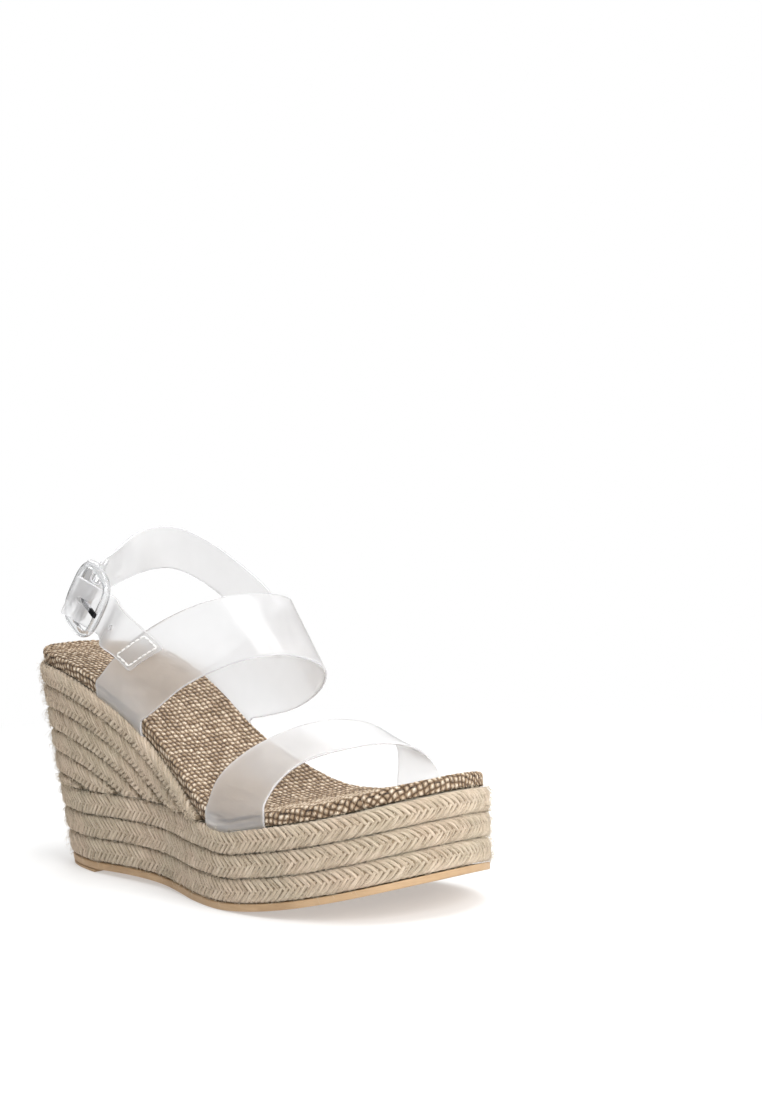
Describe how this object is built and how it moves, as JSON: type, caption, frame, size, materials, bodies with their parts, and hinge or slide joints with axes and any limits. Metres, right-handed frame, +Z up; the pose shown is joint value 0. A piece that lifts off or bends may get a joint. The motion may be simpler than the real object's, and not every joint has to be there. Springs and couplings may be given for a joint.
{
  "type": "wedge sandal",
  "caption": "Espadrille wedge sandal for the right foot, with a braided jute platform, a woven footbed, clear straps and a clear ankle buckle.",
  "frame": {"origin": "middle of the object's box, on the floor that the sole stands on", "axes": "+X from heel to toe, +Y to the inner side of the foot, +Z up"},
  "size_m": [0.2404, 0.0952, 0.1424],
  "materials": {
    "jute_braid": "plaited natural jute, coarse and fuzzy",
    "woven_jute": "coarse woven jute over foam",
    "outsole_rubber": "matte tan crepe rubber",
    "clear_vinyl": "clear flexible vinyl, polished",
    "clear_resin": "clear moulded resin, polished",
    "plated_steel": "nickel plated",
    "spring_steel": "blued strip",
    "core_foam": "closed cell foam",
    "fibre_board": "pressed fibre board",
    "white_thread": "white sewing thread"
  },
  "bodies": {
    "sandal": {"outsole": "outsole_rubber", "heel_top_piece": "outsole_rubber", "toe_strap": "clear_vinyl", "instep_strap": "clear_vinyl", "ankle_strap_front": "clear_vinyl", "ankle_strap_rear": "clear_vinyl", "box_stitch_lateral": "white_thread", "box_stitch_medial": "white_thread", "fold_stitch": "white_thread", "braid_base_1": "jute_braid", "braid_base_2": "jute_braid", "braid_base_3": "jute_braid", "braid_wedge_1": "jute_braid", "braid_wedge_2": "jute_braid", "braid_wedge_3": "jute_braid", "braid_wedge_4": "jute_braid", "braid_wedge_5": "jute_braid", "braid_wedge_6": "jute_braid", "shank": "spring_steel", "wedge_core": "core_foam", "insole_board": "fibre_board", "footbed_foam": "core_foam", "footbed_cover": "woven_jute"},
    "buckle": {"buckle_frame": "clear_resin"},
    "prong": {"buckle_prong": "plated_steel"}
  },
  "joints": [
    {"name": "buckle_swivel", "type": "hinge", "parent": "sandal", "child": "buckle", "pos_m": [-0.06642, -0.0256, 0.1162], "axis": [-0.569, -0.062, -0.82], "range_deg": [0, 5]},
    {"name": "prong_lift", "type": "hinge", "parent": "buckle", "child": "prong", "pos_m": [-0.06642, -0.0256, 0.1162], "axis": [-0.569, -0.062, -0.82], "range_deg": [0, 45]}
  ]
}
